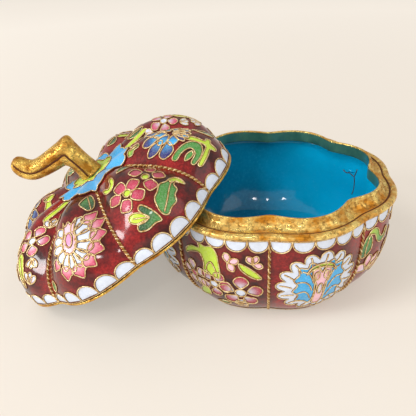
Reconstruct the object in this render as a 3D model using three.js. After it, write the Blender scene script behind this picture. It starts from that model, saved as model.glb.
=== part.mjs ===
// A small lobed box in cloisonne enamel, shaped like a melon: an open bowl with a gilt rim, and its
// domed lid with a gilt rim and a bent gilt stem. The lid is off and leans on the bowl: its low edge
// ends a hair above the ground and its rim lies on the bowl's rim at two places.
// Millimetres, +Z up. The origin is the centre of the bowl's underside.

import * as THREE from "three";
import { mergeVertices } from "three/addons/utils/BufferGeometryUtils.js";

// ---- driving dimensions ----

const LOBES = 8;
const STEPS_PER_LOBE = 8;
const GROOVE_SOFTNESS = 0.22; // 0 is a knife-sharp groove between two lobes
const WALL = 1.4; // copper with enamel on both faces
const GAP = 0.3; // between two pieces that touch
const SMALLEST_AREA = 1e-6; // square millimetres; a triangle below this is a line

const BOWL_TURN = -7.2; // degrees, about Z
const BOWL_HEIGHT = 30.7; // to the edge that carries the gilt rim
const BOWL_RADIUS = 39; // crown of a lobe, at the edge
const BASE_RADIUS = 29; // crown of a lobe, at the flat underside
const BOWL_GROOVE = 0.954; // radius in a groove, as a share of the crown's
const BOWL_ROUNDNESS = 3.6; // how late the wall turns in toward the base
const BOWL_SPREAD = 0.84; // how soon it swells above the base
const BOWL_SPACING = 0.8; // below 1 draws the rows of the wall toward the base
const BOWL_ROWS = 10;

const LEDGE_RADIUS = 40; // the gilt rim's outer bead
const LEDGE_DEPTH = 2.6; // from the bead in to where the bowl's wall stands under it
const LEDGE_THICKNESS = 1.4;
const COLLAR_RADIUS = 35.1; // the thin edge that stands inside the closed lid
const COLLAR_HEIGHT = 4.2; // above the underside of the gilt rim
const COLLAR_FOOT = 1.4; // how far the cove runs out at the collar's foot
const COLLAR_WALL = 0.6;
const LEDGE_GROOVE = 0.958;
const COLLAR_GROOVE = 0.907;

const LID_RADIUS = 40.4; // the lid's gilt edge, on the crown of a lobe
const LID_GROOVE = 0.938;
const LID_EDGE_HEIGHT = 0.9; // the gilt edge's own height
const LID_EDGE_DEPTH = 1.6;
const LID_EDGE_CHAMFER = 0.3;
const LID_OVERHANG = 0.2; // how far the gilt edge stands out beyond the dome
const CROWN_HEIGHT = 22.2; // top of the dome along the crown of a lobe
const CROWN_CURVE = 2.6; // 2 is an ellipse, more is squarer
const GROOVE_HEIGHT = 18.2; // top of the dome along a groove
const GROOVE_CURVE = 2.2;
const SEAT_RADIUS = 4.2; // flat seat under the stem
const SEAT_HEIGHT = 18.8;
const DIMPLE_RADIUS = 24; // where the dome starts to dip toward the seat
const DIMPLE_CURVE = 1.5;
const DOME_ROWS = 12;

const LEAN_TILT = 31; // degrees, between the lid's own axis and the vertical
const LEAN_HEADING = 180.5; // degrees, the direction in which the lid's top leans
const LID_SPIN = 57.2; // degrees, about the lid's own axis
const LID_PLACE = [-46.9, -1.9, 20.8]; // centre of the lid's edge

// Sections of the stem in its own plane, from the seat to the tip. Each has its centre, its lean
// from the seat's direction in degrees, its half width in the bend's plane and across it.
const STEM_SECTIONS = [
  { x: 0.3, z: 0, lean: 0, along: 3.9, across: 3.7 },
  { x: 0.6, z: 3, lean: 4, along: 3.5, across: 3.5 },
  { x: 1.1, z: 6.4, lean: 14, along: 3.5, across: 3.4 },
  { x: 1.6, z: 8.8, lean: 32, along: 4.1, across: 3.5 },
  { x: 2.1, z: 10.6, lean: 49, along: 5.0, across: 3.6 },
  { x: 4.6, z: 10.6, lean: 68, along: 4.0, across: 3.5 },
  { x: 8.2, z: 10.5, lean: 86, along: 3.5, across: 3.4 },
  { x: 12.2, z: 10.7, lean: 82, along: 3.3, across: 3.3 },
  { x: 15.0, z: 11.5, lean: 60, along: 3.4, across: 3.2 },
  { x: 16.8, z: 13.4, lean: 36, along: 3.2, across: 3.1 },
  { x: 17.6, z: 15.4, lean: 26, along: 2.9, across: 2.8 },
  { x: 18.0, z: 16.8, lean: 24, along: 2.0, across: 2.0 },
  { x: 18.2, z: 17.4, lean: 24, along: 0.8, across: 0.8 },
];
const STEM_SIDES = 10;
const STEM_STEPS = 36;

// ---- materials ----

const redEnamel = { color: 0x86201c, roughness: 0.2, metalness: 0 };
const gilt = { color: 0xd9a441, roughness: 0.35, metalness: 1 };

// ---- helpers ----

const radians = THREE.MathUtils.degToRad;

// One named piece.
function piece(name, geometry, look) {
  const mesh = new THREE.Mesh(geometry, new THREE.MeshStandardMaterial(look));
  mesh.name = name;
  return mesh;
}

// 0 in a groove between two lobes, 1 on the crown of a lobe.
function crownShare(angle) {
  const wave = Math.sin((LOBES / 2) * angle);
  const soft = Math.hypot(wave, GROOVE_SOFTNESS) - GROOVE_SOFTNESS;
  return soft / (Math.hypot(1, GROOVE_SOFTNESS) - GROOVE_SOFTNESS);
}

// A profile turned about Z whose section is lobed. crown and groove are the same outline, point for
// point, on the crown of a lobe and in a groove, as Vector2(radius, height).
function lobedLathe(crown, groove) {
  const lathe = new THREE.LatheGeometry(crown, LOBES * STEPS_PER_LOBE);
  const position = lathe.attributes.position;
  for (let i = 0; i < position.count; i += 1) {
    const row = i % crown.length;
    const column = Math.floor(i / crown.length);
    const angle = (2 * Math.PI * column) / (LOBES * STEPS_PER_LOBE);
    const point = groove[row].clone().lerp(crown[row], crownShare(angle));
    position.setXYZ(i, point.x * Math.cos(angle), point.x * Math.sin(angle), point.y);
  }
  lathe.deleteAttribute("normal");
  lathe.deleteAttribute("uv");
  return faceOutward(mergeVertices(dropFlatTriangles(lathe)));
}

// The triangles that shrink to a line where a profile meets the axis or its own seam.
function dropFlatTriangles(geometry) {
  const position = geometry.attributes.position;
  const kept = [];
  const corner = [0, 1, 2].map(() => new THREE.Vector3());
  for (let i = 0; i < geometry.index.count; i += 3) {
    const triple = [0, 1, 2].map((k) => geometry.index.getX(i + k));
    triple.forEach((index, k) => corner[k].fromBufferAttribute(position, index));
    if (new THREE.Triangle(...corner).getArea() > SMALLEST_AREA) {
      kept.push(...triple);
    }
  }
  geometry.setIndex(kept);
  return geometry;
}

// Turns a closed geometry's faces outward where they all point in.
function faceOutward(geometry) {
  const position = geometry.attributes.position;
  const [a, b, c] = [0, 1, 2].map(() => new THREE.Vector3());
  let volume = 0;
  for (let i = 0; i < geometry.index.count; i += 3) {
    a.fromBufferAttribute(position, geometry.index.getX(i));
    b.fromBufferAttribute(position, geometry.index.getX(i + 1));
    c.fromBufferAttribute(position, geometry.index.getX(i + 2));
    volume += a.dot(b.cross(c));
  }
  if (volume < 0) {
    geometry.setIndex([...geometry.index.array].reverse());
  }
  return geometry;
}

// The same outline moved sideways, to the left of its direction of travel.
function inset(outline, distance) {
  return outline.map((point, i) => {
    const before = outline[Math.max(i - 1, 0)];
    const after = outline[Math.min(i + 1, outline.length - 1)];
    const along = after.clone().sub(before).normalize();
    return new THREE.Vector2(point.x - distance * along.y, point.y + distance * along.x);
  });
}

// ---- bowl ----

// The wall from the base's edge up to the rim: share is 1 on a crown, BOWL_GROOVE in a groove.
function bowlWall(share) {
  const outline = [];
  for (let row = 0; row <= BOWL_ROWS; row += 1) {
    const depth = Math.cos((row / BOWL_ROWS) * (Math.PI / 2)) ** BOWL_SPACING;
    const bulge = (1 - depth ** BOWL_ROUNDNESS) ** BOWL_SPREAD;
    const radius = BASE_RADIUS + (BOWL_RADIUS - BASE_RADIUS) * bulge;
    outline.push(new THREE.Vector2(radius * share, BOWL_HEIGHT * (1 - depth)));
  }
  return outline;
}

function bowlOutline(share) {
  const outside = bowlWall(share);
  const inside = inset(outside, WALL).reverse();
  inside[0].y = BOWL_HEIGHT;
  inside[inside.length - 1].y = WALL;
  return [new THREE.Vector2(0, 0), ...outside, ...inside, new THREE.Vector2(0, WALL)];
}

function bowl() {
  const shell = piece("bowl", lobedLathe(bowlOutline(1), bowlOutline(BOWL_GROOVE)), redEnamel);
  shell.rotation.z = radians(BOWL_TURN);
  return shell;
}

// The gilt rim: a rounded ledge that the closed lid sits on, with a thin collar coved up out of it.
// Each corner is its distance in from the ledge's edge or from the collar's edge, and its height.
function rimOutline(ledge, collar) {
  const foot = collar + COLLAR_FOOT;
  const inner = collar - COLLAR_WALL;
  return [
    [ledge - LEDGE_DEPTH, 0],
    [ledge - 0.4 * LEDGE_THICKNESS, 0],
    [ledge - 0.1, 0.25 * LEDGE_THICKNESS],
    [ledge, 0.6 * LEDGE_THICKNESS],
    [ledge - 0.4, LEDGE_THICKNESS - 0.1],
    [foot + 0.8, LEDGE_THICKNESS],
    [foot, LEDGE_THICKNESS + 0.4],
    [collar + 0.45, COLLAR_HEIGHT - 1.2],
    [collar + 0.1, COLLAR_HEIGHT - 0.15],
    [inner + 0.3, COLLAR_HEIGHT],
    [inner, COLLAR_HEIGHT - 0.3],
    [inner, 0.4],
    [inner + 0.4, 0],
    [ledge - LEDGE_DEPTH, 0],
  ].map(([radius, height]) => new THREE.Vector2(radius, height));
}

function bowlRim() {
  const crown = rimOutline(LEDGE_RADIUS, COLLAR_RADIUS);
  const groove = rimOutline(LEDGE_RADIUS * LEDGE_GROOVE, COLLAR_RADIUS * COLLAR_GROOVE);
  const ring = piece("bowl_rim", lobedLathe(crown, groove), gilt);
  ring.rotation.z = radians(BOWL_TURN);
  ring.position.z = BOWL_HEIGHT + GAP;
  return ring;
}

// ---- lid, in its own frame: the edge lies in the plane z = 0 and the stem reaches out along +X ----

// One line up the dome, from above the gilt edge to the flat seat under the stem.
function domeLine(radius, height, curve) {
  const outline = [];
  const foot = LID_EDGE_HEIGHT + GAP;
  for (let row = 0; row <= DOME_ROWS; row += 1) {
    const lastAngle = Math.acos((SEAT_RADIUS / radius) ** (curve / 2));
    const angle = (row / DOME_ROWS) * lastAngle;
    const reach = radius * Math.cos(angle) ** (2 / curve);
    const rise = foot + (height - foot) * Math.sin(angle) ** (2 / curve);
    const dip = Math.max(0, 1 - (reach / DIMPLE_RADIUS) ** 2) ** DIMPLE_CURVE;
    outline.push(new THREE.Vector2(reach, rise + (SEAT_HEIGHT - height) * dip));
  }
  outline[DOME_ROWS].y = SEAT_HEIGHT;
  return outline;
}

function domeOutline(radius, height, curve) {
  const outside = domeLine(radius, height, curve);
  const inside = inset(outside, WALL).reverse();
  const ceiling = SEAT_HEIGHT - WALL;
  inside[0].y = ceiling;
  inside[inside.length - 1].y = LID_EDGE_HEIGHT + GAP;
  return [new THREE.Vector2(0, ceiling), ...inside, ...outside, new THREE.Vector2(0, SEAT_HEIGHT)];
}

function lid() {
  const radius = LID_RADIUS - LID_OVERHANG;
  const crown = domeOutline(radius, CROWN_HEIGHT, CROWN_CURVE);
  const groove = domeOutline(radius * LID_GROOVE, GROOVE_HEIGHT, GROOVE_CURVE);
  const shell = piece("lid", lobedLathe(crown, groove), redEnamel);
  shell.rotation.z = radians(LID_SPIN);
  return shell;
}

function edgeOutline(radius) {
  return [
    [radius - LID_EDGE_DEPTH, 0],
    [radius - LID_EDGE_CHAMFER, 0],
    [radius, LID_EDGE_CHAMFER],
    [radius, LID_EDGE_HEIGHT - LID_EDGE_CHAMFER],
    [radius - LID_EDGE_CHAMFER, LID_EDGE_HEIGHT],
    [radius - LID_EDGE_DEPTH, LID_EDGE_HEIGHT],
    [radius - LID_EDGE_DEPTH, 0],
  ].map(([reach, height]) => new THREE.Vector2(reach, height));
}

function lidRim() {
  const crown = edgeOutline(LID_RADIUS);
  const groove = edgeOutline(LID_RADIUS * LID_GROOVE);
  const ring = piece("lid_rim", lobedLathe(crown, groove), gilt);
  ring.rotation.z = radians(LID_SPIN);
  return ring;
}

// A straight closed cylinder whose rings are laid on a smooth run through the stem's sections.
function stem() {
  const rod = new THREE.CylinderGeometry(1, 1, 1, STEM_SIDES, STEM_STEPS);
  rod.deleteAttribute("normal");
  rod.deleteAttribute("uv");
  const smoothRun = (pick) => new THREE.CatmullRomCurve3(STEM_SECTIONS.map(pick), false, "catmullrom");
  const centres = smoothRun(({ x, z }) => new THREE.Vector3(x, 0, z));
  const sizes = smoothRun(({ lean, along, across }) => new THREE.Vector3(lean, along, across));
  const position = rod.attributes.position;
  for (let i = 0; i < position.count; i += 1) {
    const share = position.getY(i) + 0.5;
    const centre = centres.getPoint(share);
    const size = sizes.getPoint(share);
    const inward = size.y * position.getX(i);
    const lean = radians(size.x);
    const x = centre.x + inward * Math.cos(lean);
    const z = centre.z - inward * Math.sin(lean);
    position.setXYZ(i, x, size.z * position.getZ(i), z);
  }
  const handle = piece("stem", faceOutward(mergeVertices(rod)), gilt);
  handle.position.z = SEAT_HEIGHT + GAP;
  return handle;
}

function leaningLid() {
  const group = new THREE.Group();
  group.add(lid(), lidRim(), stem());
  group.rotation.set(0, radians(LEAN_TILT), radians(LEAN_HEADING), "ZYX");
  group.position.set(...LID_PLACE);
  return group;
}

const box = new THREE.Group();
box.add(bowl(), bowlRim(), leaningLid());

export default box;
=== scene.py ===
# %% [markdown]
# # A cloisonne enamel box, step by step
# The box is a small lobed copper bowl with a domed lid, both covered in enamel. Gilt wire is bent
# into cells on the copper, each cell is filled with coloured glass paste, and the whole is fired and
# polished. The lid is off and leans on the bowl. This lesson builds the shells, the gilt rims, the
# wires and the coloured cells, on top of a plain solid model that fixes every size and place.

# %% Load the fixed frame
import math

import bpy
from mathutils import Euler, Matrix, Vector
from mathutils.geometry import delaunay_2d_cdt


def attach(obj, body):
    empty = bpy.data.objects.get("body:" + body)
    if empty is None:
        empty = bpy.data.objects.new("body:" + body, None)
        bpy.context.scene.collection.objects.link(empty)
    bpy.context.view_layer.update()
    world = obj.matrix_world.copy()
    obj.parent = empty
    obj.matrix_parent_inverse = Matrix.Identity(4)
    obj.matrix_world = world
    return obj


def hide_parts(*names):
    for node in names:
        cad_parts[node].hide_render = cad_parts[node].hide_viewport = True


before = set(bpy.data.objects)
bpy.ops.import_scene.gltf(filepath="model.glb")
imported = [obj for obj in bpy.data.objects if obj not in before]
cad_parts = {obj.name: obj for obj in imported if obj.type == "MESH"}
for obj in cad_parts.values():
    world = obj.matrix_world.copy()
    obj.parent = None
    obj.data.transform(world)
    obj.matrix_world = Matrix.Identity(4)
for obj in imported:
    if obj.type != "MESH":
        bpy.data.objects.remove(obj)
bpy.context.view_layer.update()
MM = 0.001
print("solid pieces:", sorted(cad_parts))

# %% [markdown]
# ## The lobed shape
# Bowl and lid have the same plan: eight lobes with a soft groove between each two, where a rope wire
# runs. One function says how far an angle is from its groove. Each shell is then given by two
# outlines, one up the crown of a lobe and one up a groove, and every place between them is a blend.

# %% The plan of eight lobes
LOBES = 8
GROOVE_SOFTNESS = 0.22
LOBE_ANGLE = 2 * math.pi / LOBES


def crown_share(angle):
    """0 in a groove, 1 on the crown of a lobe."""
    wave = math.sin(LOBES / 2 * angle)
    soft = math.hypot(wave, GROOVE_SOFTNESS) - GROOVE_SOFTNESS
    return soft / (math.hypot(1, GROOVE_SOFTNESS) - GROOVE_SOFTNESS)


print("half way to a crown the blend is %.2f" % crown_share(LOBE_ANGLE / 4))

# %% [markdown]
# The outlines are formulas and not lists of points. The bowl's wall swells out of a flat base and
# stands upright under the rim. The lid's dome is an ellipse made squarer, and it dips at its top
# toward the flat seat of the stem. In the grooves both have a smaller radius and the dome is lower.

# %% The outlines of bowl and lid, in millimetres
BOWL_HEIGHT = 30.7
BOWL_RADIUS = 39.0
BASE_RADIUS = 29.0
BOWL_GROOVE = 0.954
BOWL_ROUNDNESS = 3.6
BOWL_SPREAD = 0.84
BOWL_SPACING = 0.8
WALL = 1.4
LID_RADIUS = 40.2
LID_GROOVE = 0.938
LID_FOOT = 1.2
CROWN_HEIGHT = 22.2
CROWN_CURVE = 2.6
GROOVE_HEIGHT = 18.2
GROOVE_CURVE = 2.2
SEAT_RADIUS = 4.2
SEAT_HEIGHT = 18.8
DIMPLE_RADIUS = 24.0
DIMPLE_CURVE = 1.5


def bowl_outline(share, scale):
    """Radius and height of the bowl's wall: share runs from 0 at the base to 1 at the rim."""
    depth = max(0.0, math.cos(share * math.pi / 2)) ** BOWL_SPACING
    bulge = max(0.0, 1 - depth ** BOWL_ROUNDNESS) ** BOWL_SPREAD
    return (BASE_RADIUS + (BOWL_RADIUS - BASE_RADIUS) * bulge) * scale, BOWL_HEIGHT * (1 - depth)


def dome_outline(share, radius, height, curve):
    """Radius and height of the lid's dome: share runs from 0 at the edge to 1 at the stem's seat."""
    angle = share * math.acos((SEAT_RADIUS / radius) ** (curve / 2))
    reach = radius * math.cos(angle) ** (2 / curve)
    rise = LID_FOOT + (height - LID_FOOT) * math.sin(angle) ** (2 / curve)
    dip = max(0.0, 1 - (reach / DIMPLE_RADIUS) ** 2) ** DIMPLE_CURVE
    return reach, rise + (SEAT_HEIGHT - height) * dip


def bowl_lines(share):
    return bowl_outline(share, 1.0), bowl_outline(share, BOWL_GROOVE)


def dome_lines(share):
    crown = dome_outline(share, LID_RADIUS, CROWN_HEIGHT, CROWN_CURVE)
    return crown, dome_outline(share, LID_RADIUS * LID_GROOVE, GROOVE_HEIGHT, GROOVE_CURVE)


print("bowl's wall ends at radius %.1f on a crown" % bowl_lines(1.0)[0][0])
print("lid's dome starts at radius %.1f on a crown" % dome_lines(0.0)[0][0])

# %% [markdown]
# ## Drawing on a lobe as on paper
# A designer draws the flowers flat, then transfers them to the curved copper. Here a drawing has its
# own small sheet for each lobe: x runs across from the middle of the lobe, y runs along the crown
# from the lower edge, both in millimetres. The class below turns a point on that sheet into a point
# on the shell, with a height above it, so wires and enamel follow every curve of the metal.

# %% A shell that drawings can be wrapped on
ARC_STEPS = 240
SLOPE_STEP = 0.002


class Shell:
    """One lobed wall: its outlines, and the place and turn of the finished shell."""

    def __init__(self, lines, place):
        self.lines = lines
        self.place = place
        points = [lines(i / ARC_STEPS)[0] for i in range(ARC_STEPS + 1)]
        self.arc = [0.0]
        for a, b in zip(points, points[1:]):
            self.arc.append(self.arc[-1] + math.dist(a, b))
        self.length = self.arc[-1]

    def share_at(self, y):
        """The share of the outline at a distance y along the crown."""
        y = min(max(y, 0.0), self.length)
        low, high = 0, len(self.arc) - 1
        while high - low > 1:
            middle = (low + high) // 2
            if self.arc[middle] <= y:
                low = middle
            else:
                high = middle
        part = (y - self.arc[low]) / (self.arc[high] - self.arc[low])
        return (low + part) / (len(self.arc) - 1)

    def local(self, angle, share):
        """A point of the shell before it is placed, in millimetres."""
        (crown_r, crown_z), (groove_r, groove_z) = self.lines(share)
        blend = crown_share(angle)
        radius = groove_r + (crown_r - groove_r) * blend
        return Vector((radius * math.cos(angle), radius * math.sin(angle),
                       groove_z + (crown_z - groove_z) * blend))

    def normal(self, angle, share):
        """The direction straight out of the shell, before it is placed."""
        side = self.local(angle + SLOPE_STEP, share) - self.local(angle - SLOPE_STEP, share)
        low = max(share - SLOPE_STEP, 0.0)
        high = min(share + SLOPE_STEP, 1.0)
        up = self.local(angle, high) - self.local(angle, low)
        return side.cross(up).normalized()

    def on(self, angle, share, lift=0.0):
        """A point of the finished object, in metres."""
        point = self.local(angle, share) + self.normal(angle, share) * lift
        return self.place @ (point * MM)

    def sheet(self, lobe, x, y, lift=0.0):
        """A point drawn flat on a lobe's own sheet, in metres on the finished object."""
        share = self.share_at(y)
        radius = self.lines(share)[0][0]
        angle = (lobe + 0.5) * LOBE_ANGLE + x / radius
        return self.on(angle, share, lift)


print("a shell measures its crown in", ARC_STEPS, "steps")

# %% [markdown]
# The bowl stands upright and is only turned a little. The lid leans on it, with its top toward the
# left, so every point of the lid goes through one frame: first its spin about its own axis, then
# its lean, then its place. These are the solid model's own angles.

# %% Where the bowl stands and how the lid leans
BOWL_TURN = math.radians(-7.2)
LID_SPIN = math.radians(57.2)
LEAN_TILT = math.radians(31.0)
LEAN_HEADING = math.radians(180.5)
LID_PLACE = Vector((-46.9, -1.9, 20.8)) * MM
lid_lean = Euler((0, LEAN_TILT, LEAN_HEADING), "XYZ")
lid_frame = Matrix.Translation(LID_PLACE) @ lid_lean.to_matrix().to_4x4()
lid_turn = Matrix.Rotation(LID_SPIN, 4, "Z")
bowl_turn = Matrix.Rotation(BOWL_TURN, 4, "Z")

bowl_shell = Shell(bowl_lines, bowl_turn)
lid_shell = Shell(dome_lines, lid_frame @ lid_turn)
print("bowl outline %.1f mm, lid outline %.1f mm" % (bowl_shell.length, lid_shell.length))

# %% [markdown]
# ## Shader maths in plain Python
# A material is a graph of nodes. Writing the graph by hand hides the idea, so a small class stands
# for one socket and lets Python's own + - and * build the Math nodes.

# %% A socket that can be calculated with
class Value:
    """The number that comes out of one node's socket."""

    def __init__(self, tree, socket):
        self.tree = tree
        self.socket = socket

    def _math(self, operation, first, second):
        node = self.tree.nodes.new("ShaderNodeMath")
        node.operation = operation
        for slot, item in zip(node.inputs, (first, second)):
            if isinstance(item, Value):
                self.tree.links.new(item.socket, slot)
            else:
                slot.default_value = item
        return Value(self.tree, node.outputs[0])

    def __add__(self, other):
        return self._math("ADD", self, other)

    def __radd__(self, other):
        return self._math("ADD", other, self)

    def __sub__(self, other):
        return self._math("SUBTRACT", self, other)

    def __rsub__(self, other):
        return self._math("SUBTRACT", other, self)

    def __mul__(self, other):
        return self._math("MULTIPLY", self, other)

    def __rmul__(self, other):
        return self._math("MULTIPLY", other, self)


print("operators on a socket: + - *")

# %% [markdown]
# A finish is one material with its shader. What is the same all over is set on the shader's own
# sockets, and what changes from place to place is fed in. One method adds any other node.

# %% A finish that is built node by node
class Finish:
    """One material, its shader, and one method that adds any other node."""

    def __init__(self, name, **constants):
        self.material = bpy.data.materials.new(name)
        self.material.use_nodes = True
        self.tree = self.material.node_tree
        self.shader = self.tree.nodes["Principled BSDF"]
        for socket, value in constants.items():
            self.shader.inputs[socket.replace("_", " ")].default_value = value

    def node(self, kind, settings=None, output=0, **inputs):
        node = self.tree.nodes.new("ShaderNode" + kind)
        for key, value in (settings or {}).items():
            setattr(node, key, value)
        for name, value in inputs.items():
            slot = self.find_input(node, name)
            if isinstance(value, Value):
                self.tree.links.new(value.socket, slot)
            else:
                slot.default_value = value
        return Value(self.tree, node.outputs[output])

    @staticmethod
    def find_input(node, name):
        """A socket by its number (i0, i1 ...) or by its name."""
        if name[0] == "i" and name[1:].isdigit():
            return node.inputs[int(name[1:])]
        return node.inputs[name.replace("_", " ")]

    def feed(self, socket, value):
        self.tree.links.new(value.socket, self.shader.inputs[socket])

    def place(self):
        """Object coordinates, so that a pattern stays on its piece."""
        return self.node("TexCoord", output=3)

    def noise(self, scale, detail=3.0, roughness=0.5):
        return self.node("TexNoise", Vector=self.place(), Scale=scale, Detail=detail,
                         Roughness=roughness)

    def spread(self, value, low, high):
        """The value stretched so that low becomes 0 and high becomes 1, cut off at both."""
        return self.node("MapRange", Value=value, From_Min=low, From_Max=high)

    def mix(self, share, first, second):
        """Blends two colours."""
        return self.node("Mix", {"data_type": "RGBA"}, output=2, i0=share, i6=first, i7=second)

    def bump(self, height, strength, distance):
        normal = self.node("Bump", Height=height, Strength=strength, Distance=distance)
        self.feed("Normal", normal)


def rgb(red, green, blue):
    """A colour given as it looks on a screen, 0 to 255, made linear."""
    def linear(channel):
        channel /= 255
        return channel / 12.92 if channel <= 0.04045 else ((channel + 0.055) / 1.055) ** 2.4
    return (linear(red), linear(green), linear(blue), 1.0)


print("middle grey is %.3f in linear light" % rgb(128, 128, 128)[0])

# %% [markdown]
# ## Glass on copper
# The red ground is transparent glass over metal, so its depth changes from place to place: darker
# where it pooled, brighter where the copper shines through, with tiny bubbles and grains. A coat
# gives it the polished surface.

# %% The red ground
def make_red_enamel():
    finish = Finish("red ground enamel", Specular_IOR_Level=0.12, Coat_Weight=0.8,
                    Coat_Roughness=0.1, Coat_IOR=1.5)
    depth = finish.spread(finish.noise(95, 4.0, 0.6), 0.38, 0.64)
    grain = finish.spread(finish.noise(1500, 3.0, 0.7), 0.4, 0.66)
    tone = finish.mix(depth, rgb(48, 5, 8), rgb(114, 10, 16))
    tone = finish.mix(grain * 0.4 * depth, tone, rgb(206, 50, 44))
    finish.feed("Base Color", tone)
    finish.feed("Roughness", 0.3 + grain * 0.2)
    finish.bump(finish.noise(190, 3.0, 0.55), 0.55, 0.0006)
    return finish.material


red_enamel = make_red_enamel()
print("made", red_enamel.name)

# %% [markdown]
# The inside is plain counter enamel in one blue, laid on to balance the outside. It is painted
# brighter toward one side of the bowl, as light falling on that side, it pools a little, and it is as
# glossy as a glazed pot.

# %% The blue inside
def make_blue_enamel():
    finish = Finish("blue inside enamel", Specular_IOR_Level=0.1, Coat_Weight=0.6,
                    Coat_Roughness=0.04)
    depth = finish.spread(finish.noise(40, 3.0, 0.5), 0.35, 0.7)
    spots = finish.spread(finish.noise(900, 3.0, 0.6), 0.4, 0.75)
    across = finish.node("SeparateXYZ", Vector=finish.place())
    # Painted light: the blue gets lighter along x, as light falling on that side of the inside.
    painted_light_side = finish.spread(across, 0.0, 0.032)
    tone = finish.mix(painted_light_side * 0.8 + depth * 0.2, rgb(0, 88, 122), rgb(0, 200, 255))
    tone = finish.mix(spots * 0.12, tone, rgb(60, 180, 225))
    finish.feed("Base Color", tone)
    finish.feed("Roughness", 0.2 + spots * 0.1)
    finish.bump(finish.noise(120, 2.0, 0.5), 0.5, 0.0008)
    return finish.material


blue_enamel = make_blue_enamel()
print("made", blue_enamel.name)

# %% [markdown]
# The flowers hold many colours, so their glass has one material that reads its colour from the mesh.
# Each cell stores its own colour at its corners, and the material adds the grain of ground glass.

# %% The coloured cells
def make_cell_enamel():
    finish = Finish("coloured cell enamel", Specular_IOR_Level=0.2, Coat_Weight=0.5,
                    Coat_Roughness=0.08)
    own = finish.node("Attribute", {"attribute_name": "glass"})
    depth = finish.spread(finish.noise(420, 4.0, 0.6), 0.3, 0.72)
    grain = finish.spread(finish.noise(2600, 2.0, 0.6), 0.4, 0.7)
    darker = finish.mix(0.2 - depth * 0.2, own, rgb(60, 40, 60))
    lighter = finish.mix(grain * 0.12, darker, rgb(255, 250, 240))
    finish.feed("Base Color", lighter)
    finish.feed("Roughness", 0.3 + grain * 0.2)
    finish.bump(finish.noise(900, 2.0, 0.5), 0.3, 0.0002)
    return finish.material


cell_enamel = make_cell_enamel()
print("made", cell_enamel.name)

# %% [markdown]
# ## Gilding
# The rims and the stem are cast, then gilt. Gilding is bright in patches and darker, almost brown,
# in the pits, and the metal under it is a little uneven. One function makes every gilt finish. The
# bowl's rim is a little brighter than the other castings, and wire has a finer pattern, because it
# is thin. One darker copy of the wire's gilt is painted shade, for one strand of each rope.

# %% Gilt metal
def make_gilt(name, patch_scale, dark, bright, pit_share, bump_distance, metal=0.85):
    finish = Finish(name, Metallic=metal)
    patches = finish.spread(finish.noise(patch_scale, 3.5, 0.6), 0.36, 0.62)
    pits = finish.spread(finish.noise(patch_scale * 4.2, 4.0, 0.7), 0.36, 0.5)
    tone = finish.mix(patches, dark, bright)
    tone = finish.mix(pit_share - pits * pit_share, tone, rgb(84, 48, 14))
    finish.feed("Base Color", tone)
    finish.feed("Roughness", 0.42 - patches * 0.18)
    finish.bump(patches * 0.6 + pits * 0.4, 0.8, bump_distance)
    return finish.material


gilt_cast = make_gilt("gilt cast metal", 240, rgb(190, 124, 40), rgb(255, 214, 112), 0.5, 0.0004, 0.9)
gilt_rim = make_gilt("gilt rim metal", 240, rgb(218, 148, 48), rgb(255, 228, 140), 0.55, 0.00035, 0.9)
gilt_wire = make_gilt("gilt wire", 1100, rgb(190, 144, 78), rgb(255, 234, 182), 0.3, 0.0001, 0.6)
# A darker copy of the wire's gilt: painted shade for one strand of each rope.
shaded_wire = make_gilt("gilt wire painted in shade", 1100, rgb(140, 92, 40), rgb(206, 154, 84), 0.4, 0.0001)
for gilt in (gilt_cast, gilt_rim, gilt_wire, shaded_wire):
    print("made", gilt.name)

# %% [markdown]
# Beside every wire a fine dark line is painted as the shade along the wire's raised edge. It is dull
# and brown, with a little noise, and it is used again as painted shade in the groove of the rim and
# in the stem's flutes, and for the dark line of a crack.

# %% The painted shade beside a wire, also a crack's dark line
def make_shade_and_crack_finish():
    # Painted shade beside wires and in grooves and flutes, and the dark of a crack: dull brown.
    finish = Finish("painted shade and crack line", Roughness=0.6, Specular_IOR_Level=0.2)
    tone = finish.mix(finish.noise(900, 2.0, 0.5), rgb(58, 26, 14), rgb(104, 58, 30))
    finish.feed("Base Color", tone)
    return finish.material


painted_shade_and_crack = make_shade_and_crack_finish()
print("made", painted_shade_and_crack.name)

# %% [markdown]
# ## Rolling up a sheet
# A lobed shell could be spun from its outline and then pulled in at the grooves. A grid that is
# rolled up does both at once: its columns go round, its rows follow the outline, and a function says
# where each of its corners lies. The seam's doubled points are merged afterwards.

# %% A helper that rolls a grid into a shape
MERGE_DISTANCE = 0.004 * MM


def clear_selection():
    """Leaves nothing selected, so that an operator acts on the next piece alone."""
    if bpy.context.object and bpy.context.object.mode != "OBJECT":
        bpy.ops.object.mode_set(mode="OBJECT")
    bpy.ops.object.select_all(action="DESELECT")


def tidy_mesh(piece):
    """Merges doubled points and turns the faces outward."""
    clear_selection()
    piece.select_set(True)
    bpy.context.view_layer.objects.active = piece
    bpy.ops.object.mode_set(mode="EDIT")
    bpy.ops.mesh.select_all(action="SELECT")
    bpy.ops.mesh.remove_doubles(threshold=MERGE_DISTANCE)
    bpy.ops.mesh.normals_make_consistent(inside=False)
    bpy.ops.object.mode_set(mode="OBJECT")


def rolled(name, columns, rows, place):
    """place(turn, row) gives a point, with turn and row both running from 0 to 1."""
    clear_selection()
    bpy.ops.mesh.primitive_grid_add(x_subdivisions=columns, y_subdivisions=rows, size=1)
    piece = bpy.context.object
    piece.name = name
    for vertex in piece.data.vertices:
        vertex.co = place(vertex.co.x + 0.5, vertex.co.y + 0.5)
    tidy_mesh(piece)
    bpy.ops.object.shade_smooth()
    return piece


def settle(piece, node_names):
    """Makes the piece part of the object and hides the solids it stands for."""
    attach(piece, "root")
    if node_names:
        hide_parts(*node_names)
    print(piece.name, len(piece.data.polygons), "faces")


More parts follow.
